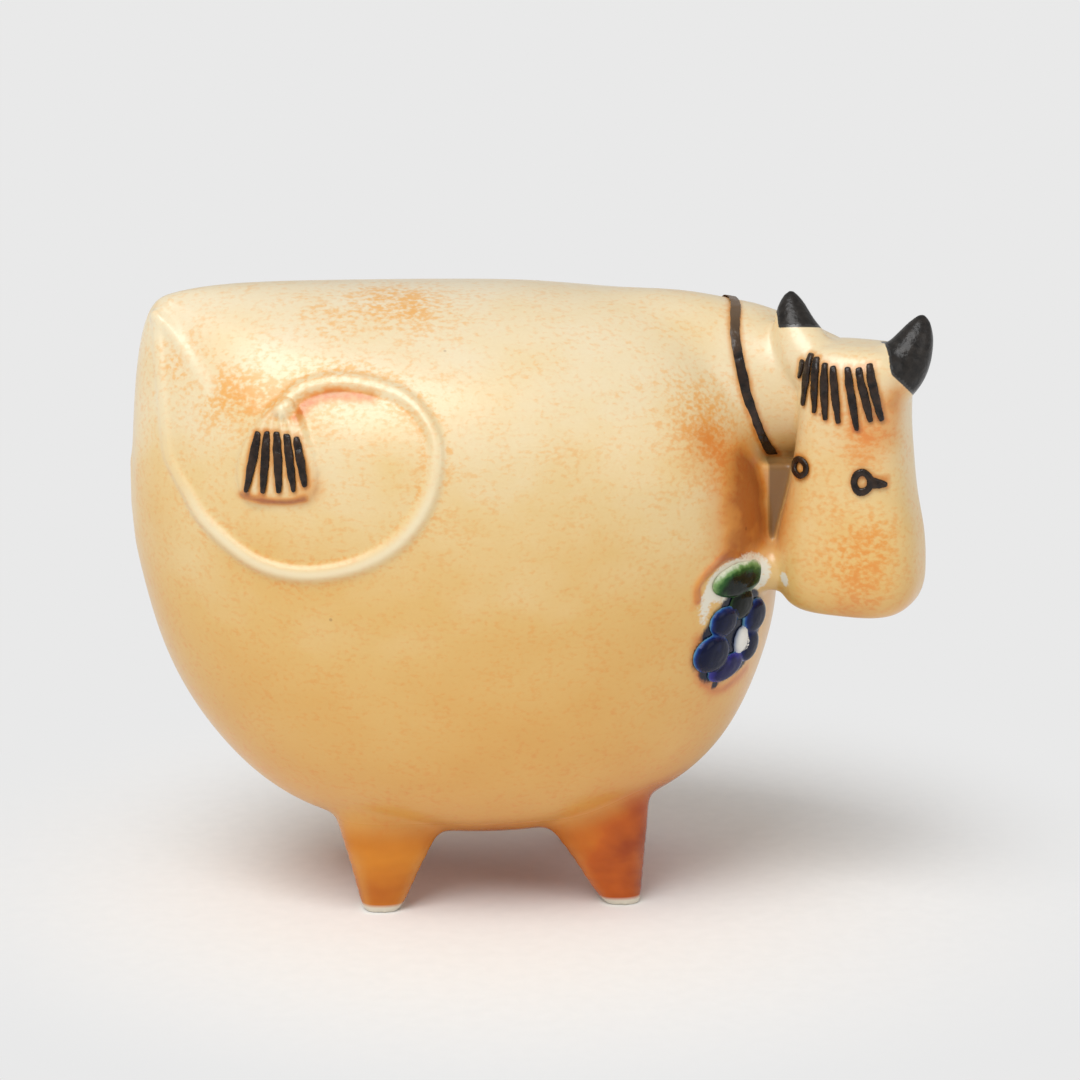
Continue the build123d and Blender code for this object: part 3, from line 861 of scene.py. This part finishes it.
print("iron spots are", round(SPOT_SPACING / MM), "mm apart")

# %% [markdown]
# Then the thin glaze: pale on raised clay, with a painted highlight along the fold, brown on the legs and
# stained by iron, first orange and then deep brown, where part of the stain is painted shade. Last come
# the painted shade in the throat, the other glazes and the clay itself: the broken white round the flower,
# its dark pool, the bare foot rings, wiped clean before the firing, and the edge of the horns.

# %% Layers of stains, painted light and shade, and of other glazes
LEG_STOPS = [(0.35, "ba640c"), (0.65, "d6841c")]
FOOT_WIPED = {"From Min": 1.7 * MM, "From Max": 1.0 * MM}


def stain_light_and_shade_layers(t, mask, spread):
    """Pale ridges with a painted highlight on the fold, brown legs, and iron stains partly painted shade."""
    leg = add(t, "ValToRGB", {"Fac": spread["cloud"]}, stops=LEG_STOPS)
    patchy = add(t, "Math", {0: spread["patch"], 1: 1.3, 2: 0.35}, operation="MULTIPLY_ADD")
    stain_and_shade = add(t, "Math", {0: mask["warm"], 1: patchy}, operation="MULTIPLY")
    thin = add(t, "MapRange", {"Value": stain_and_shade, "From Max": 0.45, "To Max": 0.85})
    deep = add(t, "MapRange", {"Value": stain_and_shade, "From Min": 0.4, "From Max": 0.95, "To Max": 0.78})
    return [
        # Pale raised clay, with a painted highlight along the fold
        ("MIX", mask["pale"], colour("f4e6c2")),
        ("MIX", mask["brown"], leg),
        # Iron stains, partly painted shade on the chest, the front legs, inside the tail's arc and under the
        # petals
        ("MULTIPLY", thin, colour("f0b258")),
        ("MULTIPLY", deep, colour("b08060")),
    ]


def other_layers(t, z, mask, spread):
    """Painted shade in the throat, white ground, dark pool, bare feet and horn edges."""
    broken = add(t, "Math", {0: spread["grain"], 1: 0.9, 2: mask["white"]}, operation="MULTIPLY_ADD")
    white = add(t, "MapRange", {"Value": broken, "From Min": 0.75, "From Max": 1.1, "To Max": 0.92})
    bare = add(t, "MapRange", {"Value": z, **FOOT_WIPED})
    dark = add(t, "MapRange", {"Value": mask["horn"], "From Min": 0.4, "From Max": 0.6})
    return [
        # Grey brown painted shade on the throat web
        ("MIX", mask["throat"], colour("8a6840")),
        ("MIX", white, colour("e8e4d4")),
        ("MIX", mask["pool"], colour("0a0f28")),
        ("MIX", bare, colour("ddd5c4")),
        ("MIX", dark, colour("1a1715")),
    ]


print("bare foot in mm:", round(FOOT_WIPED["From Max"] / MM, 1))

# %% [markdown]
# The finish. Satin glaze gives a broad soft highlight, while the thin brown glaze on the legs, the throat
# web and the pooled glazes are glassier. A fine relief from the specks and the grain breaks the highlight up.

# %% Finish of the straw glaze
# Each pair is for the satin glaze and for the glassy one
FINISH = {"Roughness": (0.34, 0.15), "Specular IOR Level": (0.65, 0.35), "Coat Weight": (0.45, 0.05)}
COAT_ROUGHNESS = 0.24


def finish_glaze(t, shader, mask, spread):
    """Sets how satin or glassy the glaze is, and its fine relief."""
    glassy = add(t, "Math", {0: mask["brown"], 1: mask["throat"]}, operation="MAXIMUM")
    glassy = add(t, "Math", {0: glassy, 1: mask["pool"]}, operation="MAXIMUM")
    for socket, (satin, glass) in FINISH.items():
        level = add(t, "MapRange", {"Value": glassy, "To Min": satin, "To Max": glass})
        t.links.new(level, shader.inputs[socket])
    shader.inputs["Coat Roughness"].default_value = COAT_ROUGHNESS
    relief = add(t, "Bump", {"Height": spread["speck"], "Strength": 0.22, "Distance": 0.2 * MM})
    inputs = {"Height": spread["grain"], "Strength": 0.2, "Distance": 0.08 * MM, "Normal": relief}
    t.links.new(add(t, "Bump", inputs), shader.inputs["Normal"])


print("satin and glassy roughness:", FINISH["Roughness"])

# %% [markdown]
# The whole glaze. The base colour follows the height on the body, lighter upwards partly as painted light
# and shade, made uneven by the clouds, and the layers lie over it in order. The legs and the throat have
# materials of their own, so that a reuser can change them alone.

# %% Straw glaze
BODY_TOP = 120 * MM
# Colours from the belly up to the back, lighter upwards partly as painted light and shade from above
BODY_STOPS = [
    (0.05, "dc9a3a"), (0.30, "e2ad56"), (0.50, "e5b969"), (0.70, "eacb8d"), (0.85, "eed9ac"), (1.0, "f0e2c1"),
]


def straw_glaze(name):
    """The satin glaze of the body, with the masks of the skin."""
    m, t, shader = material(name)
    place, mask, spread = read_skin(t)
    z = add(t, "SeparateXYZ", {"Vector": place}, "Z")
    height = add(t, "MapRange", {"Value": z, "From Max": BODY_TOP})
    uneven = add(t, "Math", {0: spread["cloud"], 1: 0.5, 2: -0.25}, operation="MULTIPLY_ADD")
    level = add(t, "Math", {0: height, 1: uneven}, operation="ADD")
    base = add(t, "ValToRGB", {"Fac": level}, stops=BODY_STOPS)
    layers = speck_layers(t, place, mask, spread) + stain_light_and_shade_layers(t, mask, spread)
    layers += other_layers(t, z, mask, spread)
    for blend, amount, above in layers:
        inputs = {0: amount, 6: base, 7: above}
        base = add(t, "Mix", inputs, 2, data_type="RGBA", blend_type=blend)
    t.links.new(base, shader.inputs["Base Color"])
    finish_glaze(t, shader, mask, spread)
    return m


# Each glaze and the clay parts under it
CLAY_GLAZES = {
    "satin straw glaze over iron stoneware": ["body_shell", "head", "tail", "tail_tuft", "chin_pad"],
    "thin brown glaze over iron stoneware": LEGS,
    # The throat web: straw glaze with grey brown painted shade
    "straw glaze with grey brown painted shade in the throat": ["throat_web"],
}
for name, nodes in CLAY_GLAZES.items():
    glaze = straw_glaze(name)
    for n in nodes:
        pieces[n].data.materials.append(glaze)
    print(name, "has", len(glaze.node_tree.nodes), "nodes on", len(nodes), "pieces")

# %% [markdown]
# Manganese slip is nearly black, with brown grains where the glaze dissolved it. High up, as on the top
# of the collar, it turns a paler grey brown. The horns have much the same colour under a drier, stonier
# glaze. Both have an uneven surface that breaks their small highlights.

# %% Dark slip and horns
SLIP_GRAIN = 1.5 * MM
HORN_GRAIN = 1.3 * MM
PALING_HEIGHTS = (106 * MM, 118 * MM)


def two_tone(name, dark, light, grain, roughness, paling_heights=None):
    """A fired colour in grains of two tones, paler grey brown towards the top between two heights if they are
    given.
    """
    m, t, shader = material(name)
    place = add(t, "TexCoord", {}, "Object")
    tone = add(t, "TexNoise", {"Vector": place, "Scale": 1 / grain, "Detail": 4}, "Fac")
    shade = add(t, "ValToRGB", {"Fac": tone}, stops=[(0.35, dark), (0.7, light)])
    if paling_heights:
        z = add(t, "SeparateXYZ", {"Vector": place}, "Z")
        paling = add(t, "MapRange", {"Value": z, "From Min": paling_heights[0], "From Max": paling_heights[1]})
        shade = add(t, "Mix", {0: paling, 6: shade, 7: colour("7b6248")}, 2, data_type="RGBA")
    t.links.new(shade, shader.inputs["Base Color"])
    shader.inputs["Roughness"].default_value = roughness
    shader.inputs["Specular IOR Level"].default_value = 0.35
    relief = add(t, "Bump", {"Height": tone, "Strength": 0.5, "Distance": 0.4 * MM})
    t.links.new(relief, shader.inputs["Normal"])
    return m


slip = two_tone("trailed manganese slip", "17110e", "38281e", SLIP_GRAIN, 0.25, PALING_HEIGHTS)
for n in SLIP:
    pieces[n].data.materials.append(slip)
horn_glaze = two_tone("dry dark horn glaze", "151210", "2c2723", HORN_GRAIN, 0.3)
for n in HORNS:
    pieces[n].data.materials.append(horn_glaze)
print("dark glazes:", slip.name, "and", horn_glaze.name)

# %% [markdown]
# Flower glazes are thick and glassy: nearly black where they pool, coloured on the slope and milky at the
# rim. So the colour is a ramp over the thickness stored on the points, made uneven by drifts of about 2
# mm.

# %% Flower glazes
DRIFT = 2.0 * MM
# Each glaze, its pieces and its colours from thin to thick
FLOWER_GLAZES = {
    "glassy cobalt glaze": (
        PETALS[:4], [(0.2, "5f93b4"), (0.38, "2b55a0"), (0.6, "18265c"), (0.95, "0f1430")]),
    "glassy violet glaze": (
        PETALS[4:], [(0.15, "3f7394"), (0.35, "4644a0"), (0.6, "322f80"), (0.9, "1d1c4e")]),
    "opaque white glaze": (
        ["flower_centre"], [(0.2, "a9b4ca"), (0.5, "dcdcd8"), (0.8, "e9e7e0")]),
    "black green glaze": (
        ["flower_stem"], [(0.15, "37512f"), (0.4, "18231a"), (0.8, "0e110c")]),
    "copper green glaze": (
        ["flower_leaf"], [(0.15, "dde2cc"), (0.35, "789c60"), (0.55, "2f5a29"), (0.85, "0c130b")]),
}


def pooled(name, stops):
    """A glassy glaze whose colour follows its thickness."""
    m, t, shader = material(name)
    place = add(t, "TexCoord", {}, "Object")
    depth = add(t, "Attribute", {}, "Fac", attribute_name="thick")
    drift = add(t, "TexNoise", {"Vector": place, "Scale": 1 / DRIFT, "Detail": 3}, "Fac")
    uneven = add(t, "Math", {0: drift, 1: 0.6, 2: -0.3}, operation="MULTIPLY_ADD")
    level = add(t, "Math", {0: depth, 1: uneven}, operation="ADD")
    t.links.new(add(t, "ValToRGB", {"Fac": level}, stops=stops), shader.inputs["Base Color"])
    shader.inputs["Roughness"].default_value = 0.1
    shader.inputs["Specular IOR Level"].default_value = 0.18
    relief = add(t, "Bump", {"Height": drift, "Strength": 0.3, "Distance": 0.3 * MM})
    t.links.new(relief, shader.inputs["Normal"])
    return m


for name, (nodes, stops) in FLOWER_GLAZES.items():
    glaze = pooled(name, stops)
    for n in nodes:
        pieces[n].data.materials.append(glaze)
print("flower glazes:", list(FLOWER_GLAZES))

# %% [markdown]
# Every piece rides on the one body and stands for its CAD part, which is hidden.

# %% Ride and replace
SLOTS = {
    "ochre_glaze": ["body_shell", "head", "tail", "tail_tuft", "chin_pad"],
    "throat_glaze": ["throat_web"],
    "brown_glaze": LEGS,
    "dark_horn_glaze": HORNS,
    "dark_slip": SLIP,
    "blue_glaze": PETALS[:4],
    "violet_glaze": PETALS[4:],
    "white_glaze": ["flower_centre"],
    "dark_green_glaze": ["flower_stem"],
    "green_glaze": ["flower_leaf"],
}
for slot, nodes in SLOTS.items():
    for n in nodes:
        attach(pieces[n], "root")
        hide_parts(n)
print("pieces:", len(pieces))

# %% [markdown]
# The floor is a sheet of pale matt paper that runs far back. Away from the cow it shows one even pale
# grey to the camera, to reflections and through glass, so that no horizon is seen, and near the cow it
# keeps the shadow.

# %% Floor
# Side of the sheet, and how far from the cow its shadow ends, in metres
FLOOR_SIZE = 12
SHADOW_EDGE = (0.05, 0.135)
FIBRE = 3 * MM

bpy.ops.object.select_all(action="DESELECT")
bpy.ops.mesh.primitive_plane_add(size=FLOOR_SIZE)
floor = bpy.context.active_object
floor.name = "floor"
paper, t, shader = material("pale matt paper")
place = add(t, "TexCoord", {}, "Object")
fibre = add(t, "TexNoise", {"Vector": place, "Scale": 1 / FIBRE, "Detail": 3}, "Fac")
pulp = add(t, "ValToRGB", {"Fac": fibre}, stops=[(0.3, "f2f2f1"), (0.7, "f5f5f4")])
t.links.new(pulp, shader.inputs["Base Color"])
shader.inputs["Roughness"].default_value = 0.9
shader.inputs["Specular IOR Level"].default_value = 0.1

away = add(t, "VectorMath", {0: place}, "Value", operation="LENGTH")
inputs = {"Value": away, "From Min": SHADOW_EDGE[0], "From Max": SHADOW_EDGE[1]}
far = add(t, "MapRange", inputs, interpolation_type="SMOOTHSTEP")
rays = add(t, "LightPath", {}).node.outputs
seen = add(t, "Math", {0: rays["Is Camera Ray"], 1: rays["Is Glossy Ray"]}, operation="ADD")
seen = add(t, "Math", {0: seen, 1: rays["Is Transmission Ray"]}, operation="ADD")
amount = add(t, "Math", {0: far, 1: seen}, operation="MULTIPLY", use_clamp=True)
glow = add(t, "Emission", {"Color": colour("e9e9e9")})
mixed = add(t, "MixShader", {0: amount, 1: shader.outputs[0], 2: glow})
t.links.new(mixed, t.nodes["Material Output"].inputs["Surface"])
floor.data.materials.append(paper)
print("floor:", floor.dimensions[:2])

# %% [markdown]
# The light of a small product studio: one large soft lamp from the upper left, a weaker one from the
# right and an even white world, at a level at which a colour renders about as it is written.

# %% Lights
AIM = Vector((0, 0, 0.06))
# Name, place in metres, side in metres and power in watts
LAMPS = [("key", (-0.75, -0.95, 1.9), 1.5, 34), ("fill", (1.4, -1.2, 0.9), 1.2, 4)]
WORLD_STRENGTH = 0.45

for name, place, size, watts in LAMPS:
    lamp = bpy.data.lights.new(name, "AREA")
    lamp.size = size
    lamp.energy = watts
    o = bpy.data.objects.new(name, lamp)
    bpy.context.collection.objects.link(o)
    o.location = place
    o.rotation_euler = (AIM - Vector(place)).to_track_quat("-Z", "Y").to_euler()
world = bpy.data.worlds.new("studio")
bpy.context.scene.world = world
world.use_nodes = True
background = world.node_tree.nodes["Background"]
background.inputs["Color"].default_value = colour("ffffff")
background.inputs["Strength"].default_value = WORLD_STRENGTH

# %% [markdown]
# The camera stands where the photograph was taken: a little left of square on, 15 degrees above the
# table, with a long lens.

# %% Camera
TARGET = Vector((3.25, 0, 67.1)) * MM
AZIMUTH = math.radians(-5.5)
ELEVATION = math.radians(15)
DISTANCE = 900 * MM
# Sensor and lens are in millimetres, the camera's own unit
SENSOR_WIDTH = 36
LENS = 156

camera = bpy.data.objects.new("camera", bpy.data.cameras.new("camera"))
bpy.context.collection.objects.link(camera)
level = math.cos(ELEVATION)
back = Vector((math.sin(AZIMUTH) * level, -math.cos(AZIMUTH) * level, math.sin(ELEVATION)))
camera.location = TARGET + back * DISTANCE
camera.rotation_euler = (-back).to_track_quat("-Z", "Y").to_euler()
camera.data.sensor_width = SENSOR_WIDTH
camera.data.lens = LENS
bpy.context.scene.camera = camera
bpy.context.scene.view_settings.view_transform = "Standard"
print("camera at", [round(v, 3) for v in camera.location])
